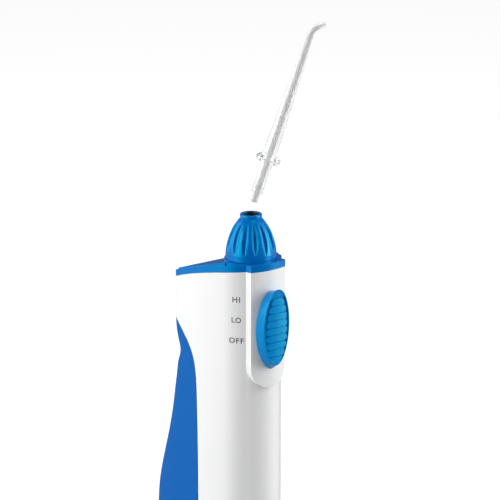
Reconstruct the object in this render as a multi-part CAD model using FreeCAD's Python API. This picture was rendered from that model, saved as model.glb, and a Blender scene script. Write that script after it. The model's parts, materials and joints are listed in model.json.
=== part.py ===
import FreeCAD, Part
import math
import os

# Handheld cordless water flosser. Millimetres, +Z up, -Y towards the switch, +Y towards the
# reservoir. The origin is where the collar's axis meets the surface that the flosser stands on.

V = FreeCAD.Vector

# Housing
WALL = 2.0                # moulded wall of the white housing
FRONT_R = 15.9            # recessed front, an arc about the collar's axis
SHOULDER = (11.5, -11.0)  # where the front arc meets the flank
CREASE = (19.0, 0.0)      # upright crease line on the flank
FLANK_HALF = 22.8         # half width at the widest
FLANK_START = 26.0        # Y where the flank becomes flat
BACK_Y = 40.7             # rear plane above the reservoir
BACK_R = 3.0              # rear corner radius
PANEL_HALF = 11.5         # raised front panel, half width
PANEL_FRONT = -18.4       # its middle
PANEL_R = 24.6            # its plan radius
BASE_TOP = 7.0            # top of the base cover
PAD_T = 1.2               # rubber pad under the base

# Cap
SEAT_Z = 186.0            # level pad under the collar: sets the body's height
CAP_Z0 = SEAT_Z - 5.5     # parting line height on the collar's axis
CAP_SLOPE = 0.178         # its fall to the rear, and its bow
CAP_BOW = 0.0025
CAP_BAND = 3.8            # visible band of the cap
SEAT_R = 16.7
RAMP_END = SEAT_Z - 12.3  # height of the ramp at the rear edge
PANEL_FOOT = SEAT_Z - 69.4  # lowest point of the raised panel's rounded end
WAIST_Z = SEAT_Z - 58.0   # finger notch between housing and reservoir
REAR_Y = 18.6             # foot of the housing's rear curve
EDGE_TOP = (35.8, WAIST_Z + 15.5)  # where that curve becomes straight
LEDGE = 1.5               # ledge around the raised pad

# Collar and jet tip
COLLAR_H = 24.5
COLLAR_R = 13.85
COLLAR_PROFILE = [(COLLAR_R, 0.0), (13.7, 3.9), (13.0, 7.9), (11.6, 12.4),
                  (9.9, 16.3), (8.1, 19.0), (5.5, 22.2)]
COLLAR_LIP_R = 6.0
MOUTH_R = 4.2
FLUTES = 14
FLUTE_DEPTH = 1.0
FLUTE_HALF = 1.5          # half width of a flute
FLUTE_ENDS = ((13.65, 4.3), (8.1, 19.3))  # radius and height of its two points
SOCKET_R = 3.95           # bore that takes the jet tip
SOCKET_OUT = 5.8
HUB_IN = 6.1
HUB_OUT = 8.2
TIP_TUBE = 70.6           # flange centre to the bend
TIP_BEND = 50.0           # turn of the nozzle, degrees
TIP_NOSE = 3.4            # straight length past the bend
TIP_END_R = 1.75          # outside of the tube at the bend
TIP_LEAN = 18.2
TIP_SIDE = (0.804, -0.595)  # direction in which the loose tip leans
TIP_OUT = 9.2             # flange centre from the axis, tip removed
TIP_Z = SEAT_Z + 54.6     # flange centre height, tip removed

# Switch
SLIDE_Z = SEAT_Z - 35.3
SLIDE_W = 18.6            # foot of the button, on the panel
SLIDE_ENDS = (-23.3, 20.9)
SLIDE_FACE_W = 17.1       # its face, drafted more at the lower end
SLIDE_FACE_ENDS = (-20.2, 23.2)
SLIDE_PROUD = 5.75
SLIDE_CROWN = 45.0        # radius across the face
SLIDE_TILT = 2.0          # the face leans out at the top
SLIDE_TRAVEL = 8.0
RIBS = 8
RIB_PITCH = 4.14
CARRIER_Y = PANEL_FRONT + WALL + 1.4   # carrier plate behind the panel
BOARD_Y = PANEL_FRONT + WALL + 5.8     # front face of the circuit board

# Reservoir
TANK_WALL = 2.4
TANK_HALF = FLANK_HALF
TANK_R = BACK_R
# Rear face, from the foot up: a bulge, the finger notch, then flush with the housing
TANK_REAR = [(59.0, 0.0), (60.0, 0.117 * WAIST_Z), (59.7, 0.25 * WAIST_Z), (58.3, 0.348 * WAIST_Z),
             (56.0, 0.422 * WAIST_Z), (52.9, 0.5 * WAIST_Z), (49.6, 0.578 * WAIST_Z),
             (46.4, 0.664 * WAIST_Z), (43.6, 0.758 * WAIST_Z), (41.7, WAIST_Z - 21.0),
             (40.0, WAIST_Z - 12.0), (38.9, WAIST_Z - 6.5), (37.0, WAIST_Z - 1.5),
             (36.8, WAIST_Z + 0.5), (37.8, WAIST_Z + 4.0), (39.4, WAIST_Z + 8.5),
             (40.5, WAIST_Z + 14.0), (BACK_Y, WAIST_Z + 20.0), (BACK_Y, WAIST_Z + 26.0)]
DOOR_HALF = 10.0
DOOR_Z = (WAIST_Z - 30.0, WAIST_Z - 14.0)
DOOR_T = 1.2
EAR_R = 1.4               # hinge ears and barrel of the fill door

# Pump drive
MODULE = 0.8
PINION_TEETH = 12
GEAR_TEETH = 36
GEAR_Y = 10.8
GEAR_T = 3.6
THROW = 4.0               # crank pin radius, half the piston's stroke
ROD = 26.0
MOTOR_Z = 82.0
MOTOR_R = 10.0
MOTOR_Y = (-8.5, 9.0)
PISTON_Y = 5.0
PISTON_R = 5.0
CELL_R = 7.25
CELL_H = 50.0
CELL_Z = 19.6
INLET_R = 3.0             # spigot that feeds the pump from the reservoir
INLET_Z = 19.0
INLET_Y = REAR_Y - WALL - 2.7  # its elbow
FRAME_Y = REAR_Y - WALL - 0.2  # rear face of the pump frame
FEED_R = 2.5              # outside of the tube up to the collar
JACK_R = 3.2              # barrel of the charging socket
JACK_Y = 8.0
JACK_Z = 14.5
JACK_X = (6.5, 20.6)
PLUG_R = 1.8              # its bore
POST_X = 10.0             # screw posts under the cells
BOARD_Z = (SLIDE_Z - 26.7, SLIDE_Z + 19.3)  # screw heights of the circuit board
BOARD_X = 7.0

# Clearances
GAP = 0.3                 # between pieces that part or pass
RUN = 0.05                # radial, on running fits
SEAM = 0.15               # moulding to moulding

SCREW_X = MODULE * PINION_TEETH / 2.0 + 2.2  # motor screws clear the pinion
MOTOR_SCREWS = [(-SCREW_X, MOTOR_Z - 3.0), (SCREW_X, MOTOR_Z - 3.0)]
BASE_SCREWS = [(-POST_X, 0.0), (POST_X, 0.0)]
GEAR_Z = MOTOR_Z + MODULE * (PINION_TEETH + GEAR_TEETH) / 2.0
WRIST_Z = GEAR_Z + THROW + ROD
CYL_OUT = PISTON_R + 2.2
HEAD_R = CYL_OUT + 0.8    # pump head
CYL_Z = (WRIST_Z + 3.6, WRIST_Z + 21.8)


def box(x0, x1, y0, y1, z0, z1):
    return Part.makeBox(x1 - x0, y1 - y0, z1 - z0, V(x0, y0, z0))


def rod_z(r, x, y, z0, z1):
    return Part.makeCylinder(r, z1 - z0, V(x, y, z0))


def rod_y(r, x, z, y0, y1):
    return Part.makeCylinder(r, y1 - y0, V(x, y0, z), V(0, 1, 0))


def rod_x(r, y, z, x0, x1):
    return Part.makeCylinder(r, x1 - x0, V(x0, y, z), V(1, 0, 0))


def ring_z(r_out, r_in, x, y, z0, z1):
    return rod_z(r_out, x, y, z0, z1).cut(rod_z(r_in, x, y, z0, z1))


def join(shapes):
    whole = shapes[0].multiFuse(shapes[1:]) if len(shapes) > 1 else shapes[0]
    return whole.removeSplitter()


def arc(p, q, r):
    return Part.Arc(V(*p), V(*q), V(*r)).toShape()


def line(p, q):
    return Part.LineSegment(V(*p), V(*q)).toShape()


def spin(points):
    """Solid of revolution about Z from (r, z) points on a closed outline."""
    edges = []
    loop = list(points) + [points[0]]
    for a, b in zip(loop, loop[1:]):
        edges.append(line((a[0], 0, a[1]), (b[0], 0, b[1])))
    return Part.Face(Part.Wire(edges)).revolve(V(0, 0, 0), V(0, 0, 1), 360)


def save(name, shape):
    shape.exportStep("parts/" + name + ".step")


# ---------------------------------------------------------------- housing outline

def plan_face(inset=0.0):
    """Housing outline seen from above, without the raised panel."""
    flat_end = BACK_Y - BACK_R
    c = BACK_R * (1 - math.sqrt(0.5))
    mid_front = (0, -FRONT_R, 0)
    sx, sy = SHOULDER
    bow = (16.6, -5.4, 0)
    flank = (CREASE[0] + 0.71 * (FLANK_HALF - CREASE[0]), 12.0, 0)
    half = [
        arc((sx, sy, 0), bow, (CREASE[0], CREASE[1], 0)),
        arc((CREASE[0], CREASE[1], 0), flank, (FLANK_HALF, FLANK_START, 0)),
        line((FLANK_HALF, FLANK_START, 0), (FLANK_HALF, flat_end, 0)),
        arc((FLANK_HALF, flat_end, 0), (FLANK_HALF - c, BACK_Y - c, 0), (FLANK_HALF - BACK_R, BACK_Y, 0)),
    ]
    back = line((FLANK_HALF - BACK_R, BACK_Y, 0), (BACK_R - FLANK_HALF, BACK_Y, 0))
    other = [e.mirror(V(0, 0, 0), V(1, 0, 0)) for e in half]
    front = arc((-sx, sy, 0), mid_front, (sx, sy, 0))
    wire = Part.Wire(Part.__sortEdges__(half + [back] + other + [front]))
    if inset:
        wire = wire.makeOffset2D(-inset)
    return Part.Face(wire)


def plan_prism(inset, z0, z1):
    face = plan_face(inset)
    face.translate(V(0, 0, z0))
    return face.extrude(V(0, 0, z1 - z0))


def panel(inset, top):
    """Raised front panel with a U-shaped foot, down into the body."""
    r = PANEL_R - inset
    half = PANEL_HALF - inset
    centre_y = PANEL_FRONT + PANEL_R
    foot_z = PANEL_FOOT + PANEL_HALF
    slab = rod_z(r, 0, centre_y, PANEL_FOOT - 5, top)
    slab = slab.common(box(-half, half, PANEL_FRONT - 1, 0, PANEL_FOOT - 5, top))
    upper = box(-half, half, PANEL_FRONT - 1, 0, foot_z, top)
    return slab.common(upper.fuse(rod_y(half, 0, foot_z, PANEL_FRONT - 1, 0)))


def back_curve(shift):
    """Edge between housing and reservoir, in the YZ plane, moved rearwards by shift."""
    pts = [(REAR_Y, 0.0), (REAR_Y + 0.2, 0.379 * WAIST_Z), (REAR_Y + 1.0, WAIST_Z - 26.5),
           (REAR_Y + 1.7, WAIST_Z - 11.8), (REAR_Y + 2.7, WAIST_Z - 5.0), (REAR_Y + 4.8, WAIST_Z + 1.2),
           (REAR_Y + 9.0, WAIST_Z + 7.2), EDGE_TOP]
    curve = Part.BSplineCurve()
    curve.interpolate([V(0, y + shift, z) for y, z in pts])
    y_top, z_top = EDGE_TOP
    low = line((0, REAR_Y + shift, -10), (0, REAR_Y + shift, 0))
    high = line((0, y_top + shift, z_top), (0, y_top + shift + 30, z_top + 30))
    return [low, curve.toShape(), high]


def in_front(shift):
    """Everything in front of the housing's rear curve."""
    edges = back_curve(shift)
    y_top, z_top = EDGE_TOP[0] + shift + 30, EDGE_TOP[1] + 30
    ceiling = SEAT_Z + 80
    edges += [
        line((0, y_top, z_top), (0, y_top, ceiling)),
        line((0, y_top, ceiling), (0, -60, ceiling)),
        line((0, -60, ceiling), (0, -60, -10)),
        line((0, -60, -10), (0, REAR_Y + shift, -10)),
    ]
    face = Part.Face(Part.Wire(edges))
    face.translate(V(-40, 0, 0))
    return face.extrude(V(80, 0, 0))


def cap_line_z(y):
    return CAP_Z0 - CAP_SLOPE * y - CAP_BOW * y * y


def below_cap(lift):
    """Everything under the bowed parting line raised by lift."""
    y0, y1 = -30.0, 50.0
    z0, z1 = cap_line_z(y0) + lift, cap_line_z(y1) + lift
    knee = z0 - (CAP_SLOPE + 2 * CAP_BOW * y0) * (y1 - y0) / 2
    bow = Part.BezierCurve()
    bow.setPoles([V(-40, y0, z0), V(-40, (y0 + y1) / 2, knee), V(-40, y1, z1)])
    sides = [(-40, y1, z1), (-40, y1, -20), (-40, y0, -20), (-40, y0, z0)]
    edges = [bow.toShape()] + [line(a, b) for a, b in zip(sides, sides[1:])]
    return Part.Face(Part.Wire(edges)).extrude(V(80, 0, 0))


def body_solid(inset, top=SEAT_Z + 14):
    return plan_prism(inset, 0, top).fuse(panel(inset, top))


# ---------------------------------------------------------------- housing shells

def rear_opening(grow):
    """Window in the rear wall that the rear cover closes."""
    return box(-17.0 - grow, 17.0 + grow, 8.0, 34.0, BASE_TOP + 6 - grow, WAIST_Z + grow)


def switch_slot():
    low = SLIDE_Z - 4.0
    high = SLIDE_Z + 4.0 + SLIDE_TRAVEL
    return box(-3.0, 3.0, PANEL_FRONT - 2, PANEL_FRONT + 6, low, high)


def housing_parts():
    above_base = box(-40, 40, -40, 60, BASE_TOP, SEAT_Z + 14)
    outer = body_solid(0).common(in_front(0)).common(below_cap(0)).common(above_base)
    above_floor = box(-40, 40, -40, 60, BASE_TOP - 1, SEAT_Z + 14)
    inner = body_solid(WALL).common(in_front(-WALL)).common(above_floor)
    shell = outer.cut(inner)
    cover = shell.common(rear_opening(0)).common(in_front(0).cut(in_front(-WALL)))
    cover = cover.cut(inlet_hole(INLET_R))
    shell = shell.cut(rear_opening(SEAM).common(in_front(1).cut(in_front(-WALL - 1))))
    shell = shell.cut(switch_slot()).cut(jack_hole())
    return shell, cover


def inlet_hole(r):
    return rod_y(r, 0, INLET_Z, 10, 30)


def jack_hole():
    return rod_x(JACK_R, JACK_Y, JACK_Z, 15, 30)


def top_cap():
    """Sloping blue cap: band, ledge, level seat, ramp and the hub the collar turns on."""
    band = body_solid(0).common(below_cap(CAP_BAND)).cut(below_cap(0))
    seat = box(-SEAT_R, SEAT_R, -SEAT_R, 0, CAP_Z0 - 2, SEAT_Z)
    seat = seat.common(rod_z(SEAT_R, 0, 0, CAP_Z0 - 2, SEAT_Z))
    foot = RAMP_END - 14
    ramp_pts = [(-40, -0.01, SEAT_Z), (-40, BACK_Y, RAMP_END), (-40, BACK_Y, foot), (-40, -0.01, foot)]
    ramp = Part.Face(Part.makePolygon([V(*p) for p in ramp_pts + [ramp_pts[0]]])).extrude(V(80, 0, 0))
    raised = body_solid(LEDGE).common(seat.fuse(ramp)).cut(below_cap(CAP_BAND - 1))
    seat_disc = rod_z(COLLAR_R + 0.6, 0, 0, CAP_Z0 + 1, SEAT_Z).cut(below_cap(CAP_BAND - 1))
    cap = join([band, raised, seat_disc])
    skirt = body_solid(WALL + SEAM).cut(body_solid(WALL + SEAM + 1.6))
    skirt = skirt.common(below_cap(0.5)).cut(below_cap(-4.0)).common(in_front(-WALL - SEAM))
    core = body_solid(WALL + 1.8).common(below_cap(CAP_BAND - 2.0))
    core = core.cut(rod_z(9.5, 0, 0, SEAT_Z - 36, SEAT_Z + 14))
    hub = ring_z(HUB_OUT, HUB_IN, 0, 0, SEAT_Z - 0.5, SEAT_Z + 6.0)
    lip = ring_z(HUB_OUT + 0.8, HUB_IN, 0, 0, SEAT_Z + 4.6, SEAT_Z + 6.0)
    spigot = rod_z(4.0, 0, 0, CAP_Z0 - 7, SEAT_Z)
    cap = join([cap.cut(core), skirt, hub, lip, spigot])
    well = rod_z(HUB_IN, 0, 0, SEAT_Z - 0.7, SEAT_Z + 8)
    return cap.cut(well).cut(rod_z(FEED_R, 0, 0, SEAT_Z - 26, SEAT_Z + 14))


def base_cover():
    plate = plan_prism(0, PAD_T, BASE_TOP).common(in_front(0))
    hollow = plan_prism(WALL, PAD_T + 2.0, BASE_TOP + 1).common(in_front(-WALL))
    lip = plan_prism(WALL + SEAM, PAD_T + 1, BASE_TOP + 3.0).common(in_front(-WALL - SEAM))
    lip = lip.cut(plan_prism(WALL + 1.6, PAD_T + 1, BASE_TOP + 4).common(in_front(-WALL - 1.6)))
    cover = join([plate.cut(hollow), lip])
    for x, y in BASE_SCREWS:
        cover = cover.cut(rod_z(1.1, x, y, 0, BASE_TOP)).cut(rod_z(2.1, x, y, 0, PAD_T + 1.0))
    return cover


def foot_pad():
    pad = plan_prism(LEDGE, 0, PAD_T).common(in_front(-LEDGE))
    for x, y in BASE_SCREWS:
        pad = pad.cut(rod_z(2.4, x, y, -1, PAD_T + 1))
    return pad


def screws_z(places, z_head, length, head_r, shank_r, up=True):
    """A set of pan-head screws, each driven along Z from its head."""
    made = []
    for x, y in places:
        if up:
            head = rod_z(head_r, x, y, z_head - 1.0, z_head)
            shank = rod_z(shank_r, x, y, z_head, z_head + length)
        else:
            head = rod_z(head_r, x, y, z_head, z_head + 1.0)
            shank = rod_z(shank_r, x, y, z_head - length, z_head)
        made.append(head.fuse(shank))
    return Part.makeCompound(made)


# ---------------------------------------------------------------- collar and tip

def collar():
    z0 = SEAT_Z + GAP
    curve = Part.BSplineCurve()
    curve.interpolate([V(r, 0, z0 + h) for r, h in COLLAR_PROFILE])
    top = SEAT_Z + COLLAR_H
    lip_low = z0 + COLLAR_PROFILE[-1][1]
    pts = [(COLLAR_PROFILE[-1][0], lip_low), (COLLAR_LIP_R - 0.2, lip_low + 0.2),
           (COLLAR_LIP_R, lip_low + 0.8),
           (COLLAR_LIP_R, top - 0.5), (COLLAR_LIP_R - 0.5, top), (MOUTH_R, top), (MOUTH_R, top - 2.6),
           (SOCKET_OUT, top - 2.6), (SOCKET_OUT, z0 + 15.0), (9.3, z0 + 11.0), (11.0, z0 + 7.0), (11.0, z0)]
    pts.append((COLLAR_PROFILE[0][0], z0))
    edges = [curve.toShape()]
    for a, b in zip(pts, pts[1:]):
        edges.append(line((a[0], 0, a[1]), (b[0], 0, b[1])))
    body = Part.Face(Part.Wire(edges)).revolve(V(0, 0, 0), V(0, 0, 1), 360)
    for i in range(FLUTES):
        body = body.cut(flute(z0, 360.0 * i / FLUTES + 180.0 / FLUTES))
    return body


def flute(z0, turn):
    """Lens-shaped cutter lying along the dome's side."""
    low, high = [V(r, 0, z0 + h) for r, h in FLUTE_ENDS]
    run = high - low
    outward = V(run.z, 0, -run.x).normalize()
    bulge = (low + high) * 0.5 + outward * 1.1
    deep = 1.6 * FLUTE_HALF
    matrix = FreeCAD.Matrix()
    matrix.scale(deep, FLUTE_HALF, 0.53 * run.Length)
    lens = Part.makeSphere(1.0).transformGeometry(matrix)
    lens.rotate(V(0, 0, 0), V(0, 1, 0), math.degrees(math.atan2(run.x, run.z)))
    lens.translate(bulge + outward * (deep - FLUTE_DEPTH))
    lens.rotate(V(0, 0, 0), V(0, 0, 1), turn)
    return lens


def tip_socket():
    low = SEAT_Z + 0.9
    top = SEAT_Z + COLLAR_H - 2.6
    return ring_z(SOCKET_OUT, SOCKET_R, 0, 0, low, top)


def collar_clip():
    return ring_z(11.0, HUB_OUT + SEAM, 0, 0, SEAT_Z + GAP + 0.9, SEAT_Z + 4.2)


def jet_tip():
    """Jet tip in its own seated frame: flange centre at the origin, nozzle up."""
    outline = [(0.0, -24.6), (2.25, -24.6), (2.5, -19.6), (3.0, -19.2), (3.2, -18.6), (3.2, -17.6),
               (2.9, -17.2), (2.9, -16.6), (3.2, -16.0), (3.2, -6.0), (3.4, -6.0), (3.4, -1.5),
               (6.0, -1.5), (6.5, -1.0), (6.5, 1.0), (6.0, 1.5), (4.1, 1.9), (3.95, 2.6),
               (TIP_END_R, TIP_TUBE), (0.0, TIP_TUBE)]
    straight = spin(outline)
    bend_r = 8.0
    disc = Part.Face(Part.Wire(Part.makeCircle(TIP_END_R, V(0, 0, TIP_TUBE), V(0, 0, 1))))
    bend = disc.revolve(V(bend_r, 0, TIP_TUBE), V(0, 1, 0), TIP_BEND)
    c, s = math.cos(math.radians(TIP_BEND)), math.sin(math.radians(TIP_BEND))
    end = V(bend_r * (1 - c), 0, TIP_TUBE + bend_r * s)
    nose = Part.makeCone(TIP_END_R, TIP_END_R - 0.3, TIP_NOSE, end, V(s, 0, c))
    tip = join([straight, bend, nose])
    bore = Part.makeCylinder(1.1, TIP_TUBE + 26, V(0, 0, -26))
    throat = Part.Face(Part.Wire(Part.makeCircle(0.9, V(0, 0, TIP_TUBE), V(0, 0, 1))))
    throat = throat.revolve(V(bend_r, 0, TIP_TUBE), V(0, 1, 0), TIP_BEND)
    jet = Part.makeCylinder(0.45, 7, end - V(s, 0, c) * 0.3, V(s, 0, c))
    return tip.cut(bore).cut(throat).cut(jet)


def place_tip(shape):
    """Loose tip: leaning, above and beside the collar's mouth."""
    sx, sy = TIP_SIDE
    norm = math.hypot(sx, sy)
    sx, sy = sx / norm, sy / norm
    shape = shape.copy()
    shape.rotate(V(0, 0, 0), V(0, 0, 1), math.degrees(math.atan2(sy, sx)))
    shape.rotate(V(0, 0, 0), V(-sy, sx, 0), TIP_LEAN)
    shape.translate(V(sx * TIP_OUT, sy * TIP_OUT, TIP_Z))
    return shape


# ---------------------------------------------------------------- switch

def oval(width, ends, y):
    """Slightly pointed oval in a plane of constant Y, between two heights."""
    half, reach = width / 2.0, (ends[1] - ends[0]) / 2.0
    middle = SLIDE_Z + (ends[0] + ends[1]) / 2.0
    pts = []
    count = 28
    for i in range(count):
        t = 2 * math.pi * i / count
        x = half * math.copysign(abs(math.cos(t)) ** 1.06, math.cos(t))
        pts.append(V(x, y, middle + reach * math.sin(t)))
    curve = Part.BSplineCurve()
    curve.interpolate(pts, PeriodicFlag=True)
    return Part.Wire(curve.toShape())


def slide_oval(proud, inset=0.0):
    """Outline of the button at a distance in front of the panel."""
    share = proud / SLIDE_PROUD
    width = SLIDE_W + share * (SLIDE_FACE_W - SLIDE_W) - 2 * inset
    low = SLIDE_ENDS[0] + share * (SLIDE_FACE_ENDS[0] - SLIDE_ENDS[0]) + inset
    high = SLIDE_ENDS[1] + share * (SLIDE_FACE_ENDS[1] - SLIDE_ENDS[1]) - inset
    return oval(width, (low, high), PANEL_FRONT - proud)


def slide_switch():
    face_y = PANEL_FRONT - SLIDE_PROUD
    block = Part.makeLoft([slide_oval(-3.0), slide_oval(SLIDE_PROUD + 2.0)], True, True)
    z0, z1 = SLIDE_Z - 40, SLIDE_Z + 40
    crown = rod_z(SLIDE_CROWN, 0, face_y + SLIDE_CROWN, z0, z1)
    crown.rotate(V(0, face_y, SLIDE_Z), V(1, 0, 0), SLIDE_TILT)
    block = block.common(crown).cut(rod_z(PANEL_R + GAP, 0, PANEL_FRONT + PANEL_R, z0, z1))
    step = SLIDE_Z - 0.6 + (RIBS - 1) / 2.0 * RIB_PITCH
    field = Part.Face(slide_oval(SLIDE_PROUD + 4.0, 1.3)).extrude(V(0, 20, 0))
    for i in range(RIBS):
        tool = rib_cut(step - i * RIB_PITCH, face_y - 2.0).common(field)
        block = block.cut(tool)
    stem = box(-2.7, 2.7, PANEL_FRONT - 1.2, CARRIER_Y, SLIDE_Z - 3.7, SLIDE_Z + 3.7)
    return join([block, stem])


def rib_cut(z, face_y):
    """Saw-tooth step: deep at its lower lip, running out upwards."""
    deep = PANEL_FRONT - SLIDE_PROUD + 1.3
    pts = [(-12, face_y - 1, z - 1.4), (-12, deep, z - 1.4), (-12, PANEL_FRONT - SLIDE_PROUD - 0.05, z + 1.9),
           (-12, face_y - 1, z + 1.9)]
    face = Part.Face(Part.makePolygon([V(*p) for p in pts + [pts[0]]]))
    return face.extrude(V(24, 0, 0))


def slide_carrier():
    plate = box(-7, 7, CARRIER_Y, CARRIER_Y + 1.6, SLIDE_Z - 8, SLIDE_Z + 8)
    finger = box(-2, 2, CARRIER_Y + 1.6, CARRIER_Y + 3.0, SLIDE_Z - 3, SLIDE_Z + 3)
    return join([plate, finger])


# ---------------------------------------------------------------- reservoir

def rear_curve(inset):
    curve = Part.BSplineCurve()
    curve.interpolate([V(0, y - inset, z) for y, z in TANK_REAR])
    return curve


def rear_y(z):
    """How far back the reservoir's rear face is at a height."""
    level = Part.LineSegment(V(0, 0, z), V(0, 100, z))
    return max(p.Y for p in rear_curve(0.0).intersectCC(level))


def tank_block(inset, r, low, high):
    """Reservoir form with rounded rear corners, not yet cut to the housing's curve."""
    curve = rear_curve(inset)
    top = TANK_REAR[-1]
    foot = TANK_REAR[0]
    edges = [
        curve.toShape(),
        line((0, top[0] - inset, top[1]), (0, 8, top[1])),
        line((0, 8, top[1]), (0, 8, 0)),
        line((0, 8, 0), (0, foot[0] - inset, 0)),
    ]
    half = TANK_HALF - inset
    face = Part.Face(Part.Wire(edges))
    face.translate(V(-half, 0, 0))
    block = face.extrude(V(2 * half, 0, 0))
    corners = [e for e in block.Edges
               if e.BoundBox.XLength < 0.1 and e.BoundBox.ZLength > 100 and e.BoundBox.YMax > 30]
    block = block.makeFillet(r, corners)
    return block.common(box(-40, 40, 0, 80, low, high))


def tank_outer():
    return tank_block(0.0, TANK_R, 0.0, WAIST_Z + 23).cut(in_front(GAP))


def door_skin(grow, depth):
    """Rounded patch of the reservoir's rear skin, depth thick."""
    outer = tank_outer()
    half = DOOR_HALF + grow
    z0, z1 = DOOR_Z[0] - grow, DOOR_Z[1] + grow
    r = 3.0
    patch = join([box(-half, half, 30, 60, z0 + r, z1 - r), box(r - half, half - r, 30, 60, z0, z1)]
                 + [rod_y(r, x, z, 30, 60) for x in (r - half, half - r) for z in (z0 + r, z1 - r)])
    inner = outer.copy()
    inner.translate(V(0, -depth, 0))
    return outer.common(patch).cut(inner)


def hinge_point():
    """Hinge axis of the fill door: just below its lower edge, just proud of the skin."""
    z = DOOR_Z[0] - 1.0
    return rear_y(z) + 0.5, z


def reservoir():
    hinge_y, hinge_z = hinge_point()
    cavity = tank_block(TANK_WALL, TANK_R - TANK_WALL, TANK_WALL, WAIST_Z - 7).cut(in_front(GAP + TANK_WALL))
    tank = tank_outer().cut(cavity)
    for side in (-1, 1):
        x0, x1 = sorted((side * 6.3, side * 9.0))
        ear = rod_x(EAR_R, hinge_y, hinge_z, x0, x1)
        tank = tank.fuse(ear.fuse(box(x0, x1, hinge_y - 1.6, hinge_y, hinge_z - EAR_R, hinge_z + 0.6)))
    tank = tank.cut(door_skin(GAP, DOOR_T + 0.1))
    tank = tank.cut(rod_x(EAR_R + 0.4, hinge_y, hinge_z, -6.3, 6.3))
    tank = tank.cut(box(-6.3, 6.3, hinge_y - 1.8, 60, hinge_z, DOOR_Z[0] + 1))
    tank = tank.cut(rod_x(0.7, hinge_y, hinge_z, -9.0, 9.0))
    z0, z1 = DOOR_Z[0] + 3.0, DOOR_Z[1] - 3.0
    tank = tank.cut(box(-7.5, 7.5, 30, 60, z0, z1))
    return tank.cut(rod_y(INLET_R + 2.0, 0, INLET_Z, 16, 24))


def fill_door():
    hinge_y, hinge_z = hinge_point()
    skin = door_skin(0.0, DOOR_T)
    tab = rod_x(0.8, rear_y(DOOR_Z[1] - 1.6) + 0.1, DOOR_Z[1] - 1.6, -4.0, 4.0)
    arm = box(-6.0, 6.0, hinge_y - 1.0, hinge_y + 0.2, hinge_z, DOOR_Z[0] + 1.2)
    barrel = rod_x(EAR_R, hinge_y, hinge_z, -6.0, 6.0)
    for x0 in (-9.3, 6.0):
        skin = skin.cut(rod_x(EAR_R + GAP, hinge_y, hinge_z, x0, x0 + 3.3))
    door = join([skin, tab, arm, barrel])
    return door.cut(rod_x(0.7 + RUN, hinge_y, hinge_z, -10, 10))


def door_seal():
    z0, z1 = DOOR_Z[0] + 3.0 + GAP, DOOR_Z[1] - 3.0 - GAP
    plug = box(-7.5 + GAP, 7.5 - GAP, 30, 60, z0, z1).cut(box(-6.0, 6.0, 29, 61, z0 + 1.4, z1 - 1.4))
    outer = tank_outer()
    low = outer.copy()
    low.translate(V(0, -DOOR_T - 1.8, 0))
    high = outer.copy()
    high.translate(V(0, -DOOR_T, 0))
    return plug.common(high).cut(low)


# ---------------------------------------------------------------- pump drive

def gear(teeth, bore, y0, thick, phase):
    """Involute spur gear about the Y axis, with backlash."""
    r_pitch = MODULE * teeth / 2.0
    r_base = r_pitch * math.cos(math.radians(20))
    r_tip = r_pitch + MODULE * 0.92
    r_root = r_pitch - MODULE * 1.25
    backlash = 0.07
    inv20 = math.tan(math.radians(20)) - math.radians(20)
    half_pitch = math.pi / (2 * teeth) + inv20 - backlash / r_pitch
    steps = 5
    flank = []
    r_low = max(r_base, r_root)
    for i in range(steps + 1):
        r = r_low + (r_tip - r_low) * i / steps
        a = math.acos(min(1.0, r_base / r))
        flank.append((r, half_pitch - (math.tan(a) - a)))
    pts = []
    for k in range(teeth):
        mid = phase + 2 * math.pi * k / teeth
        pts.append((r_root, mid - flank[0][1] - 0.02))
        pts += [(r, mid - a) for r, a in flank]
        pts += [(r, mid + a) for r, a in reversed(flank)]
        pts.append((r_root, mid + flank[0][1] + 0.02))
    loop = [V(r * math.cos(a), y0, r * math.sin(a)) for r, a in pts]
    body = Part.Face(Part.makePolygon(loop + [loop[0]])).extrude(V(0, thick, 0))
    return body.cut(rod_y(bore, 0, 0, y0 - 1, y0 + thick + 1))


def crank_gear():
    up = math.pi / 2
    wheel = gear(GEAR_TEETH, 1.5 + RUN, GEAR_Y, GEAR_T, up + math.pi / GEAR_TEETH + math.pi)
    hub = rod_y(3.0, 0, 0, GEAR_Y - 0.4, GEAR_Y).cut(rod_y(1.5 + RUN, 0, 0, GEAR_Y - 1, GEAR_Y + 1))
    wheel = join([wheel, hub]).cut(rod_y(1.5, 0, THROW, GEAR_Y - 1, GEAR_Y + GEAR_T + 1))
    for k in range(5):
        a = up + 2 * math.pi * (k + 0.5) / 5
        wheel = wheel.cut(rod_y(2.6, 8.4 * math.cos(a), 8.4 * math.sin(a), GEAR_Y - 1, GEAR_Y + GEAR_T + 1))
    wheel.translate(V(0, 0, GEAR_Z))
    return wheel


def crank_pin():
    return rod_y(1.5, 0, GEAR_Z + THROW, PISTON_Y + 2.0, GEAR_Y + GEAR_T)


def con_rod():
    y0, y1 = PISTON_Y + 2.0 + GAP, GEAR_Y - 0.5
    low, high = GEAR_Z + THROW, WRIST_Z
    body = join([rod_y(3.2, 0, low, y0, y1), rod_y(2.8, 0, high, y0, y1), box(-1.6, 1.6, y0, y1, low, high)])
    return body.cut(rod_y(1.5 + RUN, 0, low, 0, 20)).cut(rod_y(1.2 + RUN, 0, high, 0, 20))


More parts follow.
